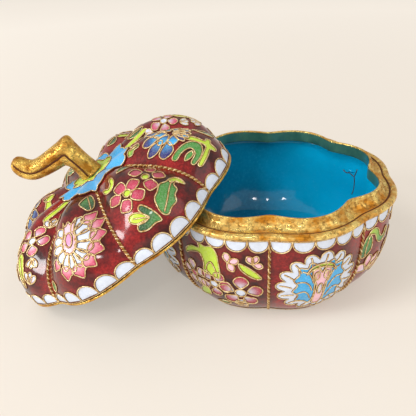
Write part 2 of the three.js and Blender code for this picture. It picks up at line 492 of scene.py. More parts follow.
print("doubled points closer than %.3f mm are merged" % (MERGE_DISTANCE / MM))

# %% [markdown]
# ## The two enamelled shells
# Each shell is one closed wall: up the outside, over the edge, down the inside and across the floor.
# The outline is the crown's and the groove's at once, and the inside is the outside moved in by the
# thickness of the wall. Solidify could thicken an open sheet, but here the floor gets a round corner
# of its own, so the section is written out.

# %% The section of a wall
COLUMNS = 192
BOWL_ROWS = 40
LID_ROWS = 48
FLOOR_ROUND = 2.5
FLOOR_ROWS = 6
BASE_MIDDLE = 14.0


def wall_rows(lines, rows):
    """Pairs of crown and groove points up the outside of a wall, and up its inside."""
    outside = [lines(i / rows) for i in range(rows + 1)]

    def moved_in(which):
        points = [pair[which] for pair in outside]
        result = []
        for i, (radius, height) in enumerate(points):
            before = points[max(i - 1, 0)]
            after = points[min(i + 1, rows)]
            length = math.dist(before, after)
            across = (after[1] - before[1]) / length
            along = (after[0] - before[0]) / length
            result.append((radius - WALL * across, height + WALL * along))
        return result

    inside = list(zip(moved_in(0), moved_in(1)))
    return outside, inside


def at_height(pair, height):
    """The same crown and groove radius at another height."""
    return tuple((radius, height) for radius, _ in pair)


def off_the_floor(point):
    """Inside, the wall runs into the floor in a round corner."""
    radius, height = point
    rise = height - WALL
    return radius, WALL + (rise + math.hypot(rise, FLOOR_ROUND)) / 2


def bowl_section():
    """The wall's lowest inner rows crowd together at the floor, so they are left out."""
    outside, inside = wall_rows(bowl_lines, BOWL_ROWS)
    inside = [(off_the_floor(crown), off_the_floor(groove)) for crown, groove in inside[FLOOR_ROWS:]]
    inside[-1] = at_height(inside[-1], BOWL_HEIGHT)
    ring = ((BASE_MIDDLE, 0), (BASE_MIDDLE * BOWL_GROOVE, 0))
    base = [((0, 0), (0, 0)), ring]
    floor = [at_height(ring, WALL), ((0, WALL), (0, WALL))]
    return base + outside + inside[::-1] + floor


def lid_section():
    """Up the dome to the flat seat of the stem, and back down the inside to the edge."""
    outside, inside = wall_rows(dome_lines, LID_ROWS)
    ceiling = SEAT_HEIGHT - WALL
    inside[0] = at_height(inside[0], LID_FOOT)
    inside[-1] = at_height(inside[-1], ceiling)
    axis = [((0, SEAT_HEIGHT), (0, SEAT_HEIGHT)), ((0, ceiling), (0, ceiling))]
    return outside + axis + inside[::-1] + outside[:1]


print("the bowl's section has %d points, the lid's %d" % (len(bowl_section()), len(lid_section())))

# %% [markdown]
# The section is then rolled round the lobes. Every column blends the crown's point and the groove's
# by its angle. The faces of the inside are found by their direction, and they get the blue enamel.

# %% The enamelled bowl and lid
# How far a face points up, from -1 to 1, tells the floor and the underside from the walls.
FLOOR_TOP = 4.0 * MM
FLOOR_FACES = 0.5
UNDER_FACES = -0.1
EDGE_FACES = 0.05


def lobed_point(place, crown, groove, turn):
    """A point between a crown's and a groove's: turn runs from 0 to 1 round the lobes."""
    angle = turn * 2 * math.pi
    blend = crown_share(angle)
    radius = groove[0] + (crown[0] - groove[0]) * blend
    height = groove[1] + (crown[1] - groove[1]) * blend
    local = Vector((radius * math.cos(angle), radius * math.sin(angle), height))
    return place @ (local * MM)


def make_shell(name, rows, place):
    """A section of crown and groove points, rolled round the lobes."""
    count = len(rows) - 1
    return rolled(name, COLUMNS, count,
                  lambda turn, row: lobed_point(place, *rows[round(row * count)], turn))


def paint_inside(piece, shell):
    """The faces of the inside get the blue enamel."""
    piece.data.materials.append(red_enamel)
    piece.data.materials.append(blue_enamel)
    inverse = shell.place.inverted()
    for face in piece.data.polygons:
        centre = inverse @ face.center
        normal = inverse.to_3x3() @ face.normal
        outward = Vector((centre.x, centre.y, 0))
        if shell is bowl_shell:
            floor = centre.z < FLOOR_TOP
            within = normal.z > FLOOR_FACES if floor else normal.dot(outward) < 0
        else:
            within = normal.z < UNDER_FACES or (normal.dot(outward) < 0 and normal.z < EDGE_FACES)
        face.material_index = 1 if within else 0


bowl_piece = make_shell("enamelled_bowl", bowl_section(), bowl_turn)
paint_inside(bowl_piece, bowl_shell)
settle(bowl_piece, ["bowl"])

lid_piece = make_shell("enamelled_lid", lid_section(), lid_shell.place)
paint_inside(lid_piece, lid_shell)
settle(lid_piece, ["lid"])

# %% [markdown]
# ## The gilt rims
# The bowl's rim is one casting: a rounded ledge that the closed lid sits on, and a thin collar coved
# up out of it that keeps the lid in place. Its section is drawn once with soft corners and rolled
# round the lobes. The lid has a plain flat gilt edge with soft corners.

# %% The bowl's rim and the lid's edge
LEDGE_RADIUS = 40.0
COLLAR_RADIUS = 35.1
COLLAR_HEIGHT = 4.2
COLLAR_FOOT = 1.4
LEDGE_DEPTH = 2.6
LEDGE_GROOVE = 0.958
COLLAR_GROOVE = 0.907
RIM_UNDERSIDE = 31.0
EDGE_RADIUS = 40.4
EDGE_DEPTH = 1.6
EDGE_HEIGHT = 0.9
CORNER_CUT = 0.25


def softened(corners, rounds=2):
    """Cuts the corners of a closed outline again and again, until it is round."""
    for _ in range(rounds):
        cut = []
        for a, b in zip(corners, corners[1:] + corners[:1]):
            cut.append(tuple(p + CORNER_CUT * (q - p) for p, q in zip(a, b)))
            cut.append(tuple(p + (1 - CORNER_CUT) * (q - p) for p, q in zip(a, b)))
        corners = cut
    return corners


def rim_corners(ledge, collar):
    """The rim's section: underside, ledge with its bead, cove, and the thin collar."""
    foot = collar + COLLAR_FOOT
    corners = [(ledge - LEDGE_DEPTH, 0), (ledge - 0.5, 0), (ledge + 0.05, 0.3), (ledge + 0.05, 1.1),
               (ledge - 0.5, 1.6), (ledge - 1.5, 1.75), (ledge - 1.9, 1.15), (foot + 0.5, 1.15),
               (foot, 1.75), (collar + 0.6, 2.4), (collar + 0.35, 3.4), (collar + 0.2, 4.25),
               (collar - 0.4, 4.25), (collar - 0.62, 3.9), (collar - 0.6, 0.3), (collar - 0.3, 0)]
    return softened(corners)


def edge_corners(radius):
    return softened([(radius - EDGE_DEPTH, 0), (radius, 0), (radius, EDGE_HEIGHT),
                     (radius - EDGE_DEPTH, EDGE_HEIGHT)])


def make_ring(name, crown, groove, place):
    count = len(crown)

    def corner(turn, row):
        k = round(row * count) % count
        return lobed_point(place, crown[k], groove[k], turn)

    return rolled(name, COLUMNS, count, corner)


rim_place = bowl_turn @ Matrix.Translation((0, 0, RIM_UNDERSIDE * MM))
rim_piece = make_ring("gilt_bowl_rim", rim_corners(LEDGE_RADIUS, COLLAR_RADIUS),
                      rim_corners(LEDGE_RADIUS * LEDGE_GROOVE, COLLAR_RADIUS * COLLAR_GROOVE),
                      rim_place)
rim_piece.data.materials.append(gilt_rim)
settle(rim_piece, ["bowl_rim"])

edge_piece = make_ring("gilt_lid_edge", edge_corners(EDGE_RADIUS),
                       edge_corners(EDGE_RADIUS * LID_GROOVE), lid_shell.place)
edge_piece.data.materials.append(gilt_cast)
settle(edge_piece, ["lid_rim"])

# %% [markdown]
# A dark line is painted in the groove between the ledge's bead and the collar, as the shade that
# falls there. It is a thin closed curve that follows the lobes, sunk into the groove, and it becomes
# a piece later, together with the bowl's other lines of painted shade.

# %% The painted shade in the rim's groove
GROOVE_IN = 2.1
GROOVE_UP = 1.08


# Painted shade: a dark line sunk in the rim's groove.
def groove_shade_line():
    crown = (LEDGE_RADIUS - GROOVE_IN, GROOVE_UP)
    groove = (LEDGE_RADIUS * LEDGE_GROOVE - GROOVE_IN, GROOVE_UP)
    return [lobed_point(rim_place, crown, groove, k / COLUMNS) for k in range(COLUMNS)]


print("groove line of", len(groove_shade_line()), "points")

# %% [markdown]
# Inside the collar lies a narrow band of greener glass. It is no piece of its own: the faces of the
# rim that look inward, below its edge, get a second material.

# %% The green band inside the collar
BAND_TOP = RIM_UNDERSIDE + COLLAR_HEIGHT - 0.5


def make_band_enamel():
    finish = Finish("green band enamel", Roughness=0.35, Coat_Weight=0.7, Coat_Roughness=0.1)
    tone = finish.mix(finish.spread(finish.noise(160, 3.0, 0.6), 0.35, 0.7), rgb(36, 84, 74),
                      rgb(66, 112, 96))
    finish.feed("Base Color", tone)
    finish.bump(finish.noise(500, 2.0, 0.5), 0.3, 0.0002)
    return finish.material


rim_piece.data.materials.append(make_band_enamel())
for face in rim_piece.data.polygons:
    outward = Vector((face.center.x, face.center.y, 0))
    unturned = bowl_turn.inverted() @ outward
    share = crown_share(math.atan2(unturned.y, unturned.x))
    collar_radius = COLLAR_RADIUS * (COLLAR_GROOVE + (1 - COLLAR_GROOVE) * share) * MM
    below_edge = face.center.z < BAND_TOP * MM
    if face.normal.dot(outward) < 0 and outward.length < collar_radius and below_edge:
        face.material_index = 1
print("band on", sum(face.material_index for face in rim_piece.data.polygons), "faces")

# %% [markdown]
# ## The stem
# The stem is cast in the shape of a dried pumpkin stalk: it rises, turns sharply, reaches out and
# curls at the tip. A long grid is rolled into a tube along a curved centre line. A long flute on
# each side, five soft facets and small lumps keep it from looking turned.

# %% The bent stem
# Sections in the stem's own plane, from the seat to the tip: centre x, height, lean in degrees,
# half width in the bend's plane, half width across it.
STEM_SECTIONS = [(0.3, 0, 0, 3.9, 3.7), (0.6, 3, 4, 3.5, 3.5), (1.1, 6.4, 14, 3.5, 3.4),
                 (1.6, 8.8, 32, 4.1, 3.5), (2.1, 10.6, 49, 5.0, 3.6), (4.6, 10.6, 68, 4.0, 3.5),
                 (8.2, 10.5, 86, 3.5, 3.4), (12.2, 10.7, 82, 3.3, 3.3), (15.0, 11.5, 60, 3.4, 3.2),
                 (16.8, 13.4, 36, 3.2, 3.1), (17.6, 15.4, 26, 2.9, 2.8),
                 (18.0, 16.8, 24, 2.0, 2.0), (18.2, 17.4, 24, 0.8, 0.8)]


def smooth_line(points, steps, closed=False):
    """A smooth line through the points, with some steps between each two."""
    count = len(points)
    result = []
    for i in range(count if closed else count - 1):
        near = [points[(i + k) % count] if closed else points[min(max(i + k, 0), count - 1)]
                for k in (-1, 0, 1, 2)]
        for step in range(steps):
            t = step / steps
            weights = (-0.5 * t + t * t - 0.5 * t ** 3, 1 - 2.5 * t * t + 1.5 * t ** 3,
                       0.5 * t + 2 * t * t - 1.5 * t ** 3, -0.5 * t * t + 0.5 * t ** 3)
            result.append(tuple(sum(w * p[axis] for w, p in zip(weights, near))
                                for axis in range(len(points[0]))))
    if not closed:
        result.append(tuple(points[-1]))
    return result


# Angles in radians. Depths are a share of the section, start and end a share of the run.
STEM_SECTION_STEPS = 8
STEM_COLUMNS = 40
STEM_LIFT = 0.3
FLUTE_ANGLE = 1.5
FLUTE_WIDTH = 0.2
FLUTE_DEPTH = 0.22
FLUTE_START = 2.2
FLUTE_END = 0.93
FACET_DEPTH = 0.03
LUMP_HEIGHT = 0.02
stem_run = smooth_line(STEM_SECTIONS, STEM_SECTION_STEPS)
STEM_ROWS = len(stem_run) - 1


def stem_point(turn, row):
    """Five-sided with soft corners, with a long flute on each side, and a little lumpy."""
    i = round(row * STEM_ROWS)
    x, z, lean, along, across = stem_run[i]
    angle = turn * 2 * math.pi
    flute = 0.0
    for side in (-1, 1):
        apart = math.remainder(angle - side * FLUTE_ANGLE, 2 * math.pi)
        flute += FLUTE_DEPTH * math.exp(-(apart / FLUTE_WIDTH) ** 2)
    size = 1 - flute * min(1, FLUTE_START * row) * (row < FLUTE_END)
    size *= 1 - FACET_DEPTH * abs(math.sin(2.5 * angle + 0.9))
    size *= 1 + LUMP_HEIGHT * math.sin(21 * row + 1) * math.sin(2 * angle + 6 * row)
    if i in (0, STEM_ROWS):
        size = 0.0
    inward = size * along * math.cos(angle)
    lean = math.radians(lean)
    return lid_frame @ (Vector((x + inward * math.cos(lean), size * across * math.sin(angle),
                                z - inward * math.sin(lean) + SEAT_HEIGHT + STEM_LIFT)) * MM)


stem_piece = rolled("gilt_stem", STEM_COLUMNS, STEM_ROWS, stem_point)
stem_piece.data.materials.append(gilt_cast)
settle(stem_piece, ["stem"])

# %% [markdown]
# ## Wires and cells
# Each motif is bent in thin wire, stuck to the copper, and its cells are filled with wet ground
# glass. A drawing collects both: a closed outline becomes a wire and a cell of one colour, or of two
# that run into each other, and an open line becomes a wire only. Under every wire lies a wider dark
# line, painted as the shade beside the raised wire. Wires and shade lines are curves with a round
# bevel, wrapped on the shell and turned into a mesh.
# The two helpers come first: one tells the inside of an outline, the other turns a curve into a
# closed mesh.

# %% Helpers for outlines and curves
def is_inside(x, y, outline):
    """True where a line drawn sideways from the point crosses the outline an odd number of times."""
    inside = False
    for (ax, ay), (bx, by) in zip(outline, outline[1:] + outline[:1]):
        if (ay > y) != (by > y) and x < (bx - ax) * (y - ay) / (by - ay) + ax:
            inside = not inside
    return inside


def curve_to_piece(curve, material):
    """Turns a curve into a mesh piece with its place in its points."""
    piece = bpy.data.objects.new(curve.name, curve)
    bpy.context.collection.objects.link(piece)
    clear_selection()
    piece.select_set(True)
    bpy.context.view_layer.objects.active = piece
    bpy.ops.object.convert(target="MESH")
    piece = bpy.context.object
    tidy_mesh(piece)
    piece.data.materials.clear()
    piece.data.materials.append(material)
    bpy.ops.object.shade_smooth()
    return piece


square = [(0, 0), (1, 0), (1, 1), (0, 1)]
print("the middle of a square is inside it:", is_inside(0.5, 0.5, square))

# %% [markdown]
# A cell is a flat outline filled with small triangles, so it follows the curve of the shell, and
# Solidify makes it a thin slab of glass. Cells are laid in turn at twelve slightly different
# heights, so that cells drawn one after the other can overlap without lying in one plane.

# %% A drawing that becomes wires and coloured cells
# Sizes, and lifts above the shell, in millimetres.
WIRE_RADIUS = 0.19
WIRE_LIFT = 0.14
# A wider dark tube sunk under each wire shows beside it as painted shade.
SHADE_LINE_RADIUS = 0.34
SHADE_LINE_DROP = 0.22
RING_LIFT = 0.1
RING_SHADE_LIFT = -0.08
CELL_STEP = 0.8
CELL_LIFT = 0.05
CELL_LEVELS = 12
LEVEL_STEP = 0.006
WIRE_OVER_CELL = 0.09
BLEND_REACH = 1.4
GLASS_DEPTH = 0.12


class Drawing:
    """The wires, painted shade lines and cells of one shell, with where(x, y, lift) giving a point on
    it.
    """

    def __init__(self, name, shell):
        self.name = name
        self.shell = shell
        self.wires = []
        self.shade_lines = []
        self.corners = []
        self.faces = []
        self.colours = []
        self.level = 0

    def wire(self, where, line, closed=False, lift=WIRE_LIFT):
        self.wires.append(([where(x, y, lift) for x, y in line], closed))
        # Painted shade: a wider dark line under the wire.
        self.shade_lines.append(([where(x, y, lift - SHADE_LINE_DROP) for x, y in line], closed))

    def ring(self, share):
        """A wire all round the shell at one share of its height."""
        turns = [2 * math.pi / COLUMNS * k for k in range(COLUMNS)]
        self.wires.append(([self.shell.on(turn, share, RING_LIFT) for turn in turns], True))
        # Painted shade under the ring's wire.
        self.shade_lines.append(([self.shell.on(turn, share, RING_SHADE_LIFT) for turn in turns], True))

    def cell(self, where, outline, colour, second=None, lift=CELL_LIFT):
        """Fills a closed outline: colour at its start, second colour at its far end."""
        self.level = (self.level + 1) % CELL_LEVELS
        lift += LEVEL_STEP * self.level
        inner = self.points_inside(outline)
        count = len(outline)
        edges = [(i, (i + 1) % count) for i in range(count)]
        points = [Vector(p) for p in outline + inner]
        flat, _, faces, *_ = delaunay_2d_cdt(points, edges, [], 1, 1e-5)
        start = len(self.corners)
        first = Vector(outline[0])
        far = max((Vector(p) - first).length for p in outline)
        for point in flat:
            self.corners.append(where(point.x, point.y, lift))
            share = min(1, BLEND_REACH * (point - first).length / far) if second else 0
            self.colours.append([a + share * (b - a) for a, b in zip(colour, second or colour)])
        self.faces += [[start + k for k in face] for face in faces]

    def points_inside(self, outline):
        """A square grid of points inside the outline, for the triangles to meet at."""
        xs = [p[0] for p in outline]
        ys = [p[1] for p in outline]
        found = []
        y = min(ys) + CELL_STEP / 2
        while y < max(ys):
            x = min(xs) + CELL_STEP / 2
            while x < max(xs):
                if is_inside(x, y, outline):
                    found.append((x, y))
                x += CELL_STEP
            y += CELL_STEP
        return found

    def shape(self, where, outline, colour, second=None, lift=CELL_LIFT):
        """A cell with its wire."""
        self.cell(where, outline, colour, second, lift)
        self.wire(where, outline, closed=True, lift=lift + WIRE_OVER_CELL)

    def lines_to_piece(self, name, lines, radius, material):
        curve = bpy.data.curves.new(name, "CURVE")
        curve.dimensions = "3D"
        curve.bevel_depth = radius * MM
        curve.bevel_resolution = 1
        curve.use_fill_caps = True
        for points, closed in lines:
            spline = curve.splines.new("POLY")
            spline.points.add(len(points) - 1)
            for place, point in zip(points, spline.points):
                point.co = (*place, 1)
            spline.use_cyclic_u = closed
        return curve_to_piece(curve, material)

    def make_wires(self):
        return self.lines_to_piece(self.name + "_wires", self.wires, WIRE_RADIUS, gilt_wire)

    def make_seams(self):
        # The lines of painted shade beside wires and ropes, in the rim's groove and in the stem's
        # flutes.
        return self.lines_to_piece(self.name + "_seams", self.shade_lines, SHADE_LINE_RADIUS, painted_shade_and_crack)

    def make_cells(self):
        mesh = bpy.data.meshes.new(self.name + "_cells")
        mesh.from_pydata(self.corners, [], self.faces)
        glass = mesh.attributes.new("glass", "FLOAT_COLOR", "POINT")
        glass.data.foreach_set("color", [c for colour in self.colours for c in colour])
        mesh.materials.append(cell_enamel)
        piece = bpy.data.objects.new(mesh.name, mesh)
        bpy.context.collection.objects.link(piece)
        inverse = self.shell.place.inverted()
        turned = sum(1 for face in mesh.polygons
                     if (inverse.to_3x3() @ face.normal).dot(inverse @ face.center) < 0)
        if turned * 2 > len(mesh.polygons):
            mesh.flip_normals()
        mesh.shade_smooth()
        clear_selection()
        piece.select_set(True)
        bpy.context.view_layer.objects.active = piece
        slab = piece.modifiers.new("glass", "SOLIDIFY")
        slab.thickness = GLASS_DEPTH * MM
        bpy.ops.object.modifier_apply(modifier=slab.name)
        return piece


lid_drawing = Drawing("lid", lid_shell)
bowl_drawing = Drawing("bowl", bowl_shell)
print("drawings for", lid_drawing.name, "and", bowl_drawing.name)

# %% [markdown]
# ## Rope wire on the grooves
# Along each groove runs a rope of two wires twisted together. It is made the same way here: two thin
# wires wind round one line, half a turn apart. One of them is bright and one is a darker gilt,
# painted as the shade between the turns, so that the twist shows from a distance. A line of painted
# shade lies under each rope.

# %% Rope wires
ROPE_WIRE = 0.24
ROPE_LIFT = 0.16
ROPE_LENGTH = 32
ROPE_PITCH = 1.7
ROPE_STEPS = 10
ROPE_SHADE_STEPS = 40
ROPE_SHADE_LIFT = -0.05


def rope(shell, angle, share_at):
    """Two strands up a groove at an angle: share_at(t) is the share of the outline, t from 0 to 1."""
    turns = round(ROPE_LENGTH / ROPE_PITCH)
    count = turns * ROPE_STEPS
    strands = [[], []]
    for i in range(count + 1):
        t = i / count
        centre = shell.on(angle, share_at(t), ROPE_LIFT)
        ahead = shell.on(angle, share_at(min(t + SLOPE_STEP, 1)), ROPE_LIFT)
        behind = shell.on(angle, share_at(max(t - SLOPE_STEP, 0)), ROPE_LIFT)
        up = shell.place.to_3x3() @ shell.normal(angle, share_at(t))
        along = (ahead - behind).normalized()
        side = along.cross(up).normalized()
        for k, strand in enumerate(strands):
            turn = 2 * math.pi * i / ROPE_STEPS + math.pi * k
            offset = side * math.cos(turn) + up * math.sin(turn)
            strand.append(centre + offset * ROPE_WIRE * MM)
    return strands


def make_ropes(drawing, low, high):
    """A bright strand and a darker one painted as shade on each groove, on a line of painted shade.
    """
    def share_at(t):
        return low + (high - low) * t

    shell = drawing.shell
    strands = [[], []]
    for k in range(LOBES):
        for line, strand in zip(strands, rope(shell, k * LOBE_ANGLE, share_at)):
            line.append((strand, False))
        # A line of painted shade under each rope.
        shade_line = [shell.on(k * LOBE_ANGLE, low + (high - low) * step / ROPE_SHADE_STEPS, ROPE_SHADE_LIFT)
                for step in range(ROPE_SHADE_STEPS + 1)]
        drawing.shade_lines.append((shade_line, False))
    # One strand is the darker gilt, painted as the shade between the turns of the twist.
    names = (drawing.name + "_rope_bright_strands", drawing.name + "_rope_shaded_strands")
    for name, line, material in zip(names, strands, (gilt_wire, shaded_wire)):
        settle(drawing.lines_to_piece(name, line, ROPE_WIRE, material), [])


make_ropes(lid_drawing, 0.005, lid_shell.share_at(33.5))
make_ropes(bowl_drawing, bowl_shell.share_at(1.8), 1.0)

# %% [markdown]
# ## The flowers
# The pattern is a ring of eight motifs: a lotus on every second lobe and a spray of blossoms, buds
# and leaves between. The shapes below are drawn once with a few points each, in millimetres, and
# then moved, turned and sized to their places.

# %% Colours of the glass
WHITE = rgb(208, 219, 238)
PALE_PINK = rgb(240, 190, 206)
PINK = rgb(200, 66, 104)
MAGENTA = rgb(168, 34, 66)
YELLOW_GREEN = rgb(186, 216, 40)
GREEN = rgb(62, 138, 52)
DEEP_GREEN = rgb(22, 84, 38)
TURQUOISE = rgb(44, 168, 230)
COBALT = rgb(12, 14, 100)
ORCHID = rgb(228, 150, 196)
print("ten colours of glass, cobalt the deepest")

# %% [markdown]
# A petal, the end of a lotus petal, a square petal and a disc are enough for most flowers. Each is a
# closed smooth line through a few points that are worked out from its length and its width.

# %% Outlines that the motifs share
def sheet_of(shell, lobe):
    """Gives the where(x, y, lift) of one lobe's sheet."""
    return lambda x, y, lift: shell.sheet(lobe, x, y, lift)


def moved(outline, at, turn=0.0, size=1.0):
    cos = math.cos(math.radians(turn)) * size
    sin = math.sin(math.radians(turn)) * size
    return [(at[0] + (x * cos - y * sin), at[1] + x * sin + y * cos) for x, y in outline]


def loop(points, steps=4):
    return smooth_line(points, steps, closed=True)


def petal(length, width, fullness=0.62):
    """From its base at (0, 0) to a soft point at (length, 0)."""
    half = width / 2
    return loop([(0, 0), (length * 0.3, half * 0.72), (length * fullness, half),
                 (length * 0.88, half * 0.62), (length, 0), (length * 0.88, -half * 0.62),
                 (length * fullness, -half), (length * 0.3, -half * 0.72)])


def shield(length, width):
    """The pointed, three-cornered end of a lotus petal."""
    half = width / 2
    return loop([(0, 0), (length * 0.12, half * 0.8), (length * 0.5, half),
                 (length * 0.62, half * 0.72), (length, 0.1), (length * 0.62, -half * 0.72),
                 (length * 0.5, -half), (length * 0.12, -half * 0.8)], 3)


def square_petal(width):
    """A short, broad petal with soft corners."""
    half = width / 2
    return loop([(-half, -half * 0.7), (0, -half), (half, -half * 0.8), (half * 1.1, 0),
                 (half * 0.9, half * 0.9), (0, half), (-half * 0.9, half * 0.8), (-half * 1.1, 0)], 2)


def disc(radius, points=8, squash=1.0):
    return loop([(radius * math.cos(2 * math.pi * k / points),
                  radius * squash * math.sin(2 * math.pi * k / points)) for k in range(points)], 2)


def on_oval(middle, turn, wide, tall):
    """The point of an oval round a middle, at a turn in degrees."""
    return (middle[0] + wide * math.cos(math.radians(turn)),
            middle[1] + tall * math.sin(math.radians(turn)))


print("a petal has", len(petal(5.0, 3.0)), "points")

# %% [markdown]
# A flower is its petals set round a heart, each turned outward. What lies on top, such as a heart,
# gets a higher lift. The flowers are functions, so that every lobe can place its own.

# %% Lotus, blossom, bud and leaf
HEART_WIDE = 1.7
HEART_TALL = 3.1
BUD_SPREAD = 34


def lotus(draw, where, at, petals, tips):
    """A lotus seen from the side: a vase-shaped heart, white petals and coloured tips round it."""
    for turn, reach, length in tips:
        start = on_oval(at, turn, reach, reach)
        draw.shape(where, moved(shield(length, length * 0.92), start, turn), PALE_PINK, PINK)
    for turn, length, width in petals:
        start = on_oval(at, turn, HEART_WIDE, HEART_TALL)
        draw.shape(where, moved(petal(length, width), start, turn), WHITE)
    vase = loop([(-1.9, 6.8), (-1.1, 5.2), (-0.2, 6.4), (0.8, 5.2), (2.0, 7.0), (1.6, 3.4),
                 (2.2, 0.4), (1.8, -2.2), (0, -3.4), (-1.9, -2.1), (-2.2, 0.4), (-1.5, 3.4)])
    draw.shape(where, moved(vase, at), PALE_PINK, lift=0.16)
    draw.shape(where, moved(disc(1.05, squash=2.0), (at[0], at[1] + 0.6)), ORCHID, lift=0.22)


def blossom(draw, where, at, turn, reach=3.1, colour=PINK, second=MAGENTA, heart=YELLOW_GREEN):
    """Five round petals and a small heart: second at a petal's base, colour at its end."""
    for k in range(5):
        angle = turn + 72 * k
        start = on_oval(at, angle, reach * 0.42, reach * 0.42)
        draw.shape(where, moved(petal(reach * 0.98, reach * 0.92, 0.58), start, angle), second,
                   colour)
    draw.shape(where, moved(disc(reach * 0.34), at), heart, lift=0.12)


def bud(draw, where, at, turn, size=1.0, colour=PALE_PINK):
    """Three closed petals side by side, the middle one on top."""
    for side in (-BUD_SPREAD, BUD_SPREAD, 0):
        draw.shape(where, moved(petal(3.4, 1.7), at, turn + side, size), colour, WHITE)


def leaf(draw, where, points, colour, second=None, vein=None):
    """A smooth outline through the points, with a wire for its vein where one is given."""
    draw.shape(where, loop(points), colour, second)
    if vein:
        draw.wire(where, smooth_line(vein, 4))


print("a lotus, a blossom, a bud and a leaf can be drawn")

# %% [markdown]
# A row of round white arches edges every lobe of the lid and of the bowl. The arches are a little
# taller toward the ends of a lobe, and their wire is left open at the edge.

# %% White scallops along an edge
SCALLOPS = 5
ARCH_STEPS = 14
ARCH_HALF = 0.49
ARCH_FULLNESS = 0.75
ARCH_MIDDLE_HEIGHT = 0.94
ARCH_GROWTH = 0.09


def scallops(draw, lobe, start, height, direction):
    """Round white arches along the edge of a lobe."""
    shell = draw.shell
    where = sheet_of(shell, lobe)
    radius = shell.lines(shell.share_at(start))[0][0]
    pitch = LOBE_ANGLE * radius / SCALLOPS
    for k in range(SCALLOPS):
        off_centre = k - (SCALLOPS - 1) / 2
        tall = height * (ARCH_MIDDLE_HEIGHT + ARCH_GROWTH * abs(off_centre))
        outline = []
        for step in range(ARCH_STEPS + 1):
            angle = math.pi * step / ARCH_STEPS
            x = off_centre * pitch - pitch * ARCH_HALF * math.cos(angle)
            outline.append((x, start + direction * tall * math.sin(angle) ** ARCH_FULLNESS))
        draw.cell(where, outline, WHITE)
        draw.wire(where, outline)


print(LOBES * SCALLOPS, "scallops go round each edge")

# %% [markdown]
# ## The lid's pattern
# The lid's lobes carry a white lotus with pink tips, a pair of pink blossoms, a blue lotus and a
# spray of buds, and then the same again on the far side, where the spray isn't mirrored.

# %% The white lotus
def white_lotus_lobe(draw, lobe):
    where = sheet_of(lid_shell, lobe)
    petals = [(58, 4.8, 3.0), (30, 5.2, 4.0), (2, 5.6, 3.8), (-27, 5.2, 3.4), (-52, 5.0, 2.6),
              (-74, 5.0, 2.2), (-96, 5.0, 2.2), (-120, 5.0, 2.2), (-146, 4.6, 2.4),
              (-172, 4.6, 2.4), (162, 4.4, 2.6), (134, 4.0, 2.4)]
    tips = [(46, 5.8, 4.4), (20, 5.8, 4.5), (-6, 5.6, 4.5), (-34, 5.8, 4.5), (-60, 6.4, 4.1),
            (-86, 6.6, 4.1), (-114, 6.4, 4.0), (-144, 6.0, 3.4)]
    lotus(draw, where, (1.9, 16.8), petals, tips)
    leaf(draw, where, [(4.2, 31.6), (3.6, 29), (5.0, 27), (6.4, 25.4), (7.6, 26), (7.4, 28.6),
                       (6.2, 31.4), (5.2, 32.6)], GREEN, DEEP_GREEN, [(4.8, 32), (6.0, 29), (7, 26)])
    leaf(draw, where, [(-3.4, 29), (-5.6, 27), (-6.4, 24.6), (-4.6, 25.4), (-3, 27.2)],
         YELLOW_GREEN)
    leaf(draw, where, [(-10.6, 9.4), (-12.4, 7.8), (-12.4, 5.9), (-10.6, 6.4), (-9.4, 8)], GREEN)


print("white lotus for lobes 0 and 4")


# %% The pair of blossoms
def blossoms_lobe(draw, lobe):
    """Nine square petals in two rings that share one petal, over large leaves."""
    where = sheet_of(lid_shell, lobe)
    for x, y, turn in ((-6.3, 20.8, 130), (-3.0, 22.0, 80), (-0.2, 19.6, 20), (-1.5, 16.0, -60),
                       (-5.7, 16.4, -140), (3.5, 22.7, 95), (8.0, 21.0, 30), (7.4, 16.9, -30),
                       (2.9, 15.6, -100)):
        draw.shape(where, moved(square_petal(3.3), (x, y), turn), PINK, MAGENTA)
    for x in (-2.9, 3.9):
        draw.shape(where, moved(disc(1.15), (x, 18.8)), YELLOW_GREEN, lift=0.14)
    leaf(draw, where, [(-5.8, 28.8), (-6.2, 26.8), (-5.2, 25.2), (-3.6, 25.0), (-2.0, 26.4),
                       (-1.6, 28.6), (-2.6, 28.4), (-3.4, 26.8), (-4.6, 26.6), (-5.0, 27.8)],
         YELLOW_GREEN)
    leaf(draw, where, [(0.4, 28.2), (2.2, 30.0), (5.0, 30.4), (7.6, 29.4), (5.2, 28.0),
                       (2.4, 27.4)], GREEN, DEEP_GREEN)
    leaf(draw, where, [(-0.9, 8.8), (0.4, 11.6), (2.4, 12.6), (4.6, 13.9), (6.8, 13.4), (8.2, 13.6),
                       (10.4, 12.8), (11.0, 11.2), (10.6, 9.6), (9.6, 10.6), (9.0, 11.6),
                       (7.6, 11.2), (7.2, 9.6), (5.4, 8.8), (4.2, 7.2), (2.0, 6.9), (0.2, 6.2),
                       (-0.8, 7.0)], GREEN, None, [(-0.2, 7.4), (3.0, 9.4), (6.0, 11.4), (8.8, 12.8)])
    draw.shape(where, loop([(8.0, 13.5), (10.3, 12.9), (11.2, 11.4), (10.7, 9.4), (9.7, 10.5),
                            (9.2, 11.8), (7.6, 12.2)]), YELLOW_GREEN, lift=0.15)
    leaf(draw, where, [(-2.2, 6.4), (-4.0, 7.0), (-6.6, 7.2), (-8.4, 8.6), (-7.6, 10.0),
                       (-5.6, 9.2), (-4.2, 9.4), (-4.6, 11.4), (-4.4, 13.0), (-3.2, 13.2),
                       (-2.4, 11.0), (-2.0, 8.6)], GREEN, DEEP_GREEN)
    leaf(draw, where, [(-4.0, 9.2), (-5.6, 9.6), (-7.6, 10.6), (-8.4, 12.6), (-7.2, 13.6),
                       (-5.6, 12.8), (-4.6, 11.2)], YELLOW_GREEN, None, [(-4.2, 9.4), (-7.2, 12.2)])


print("blossoms for lobes 1 and 5")


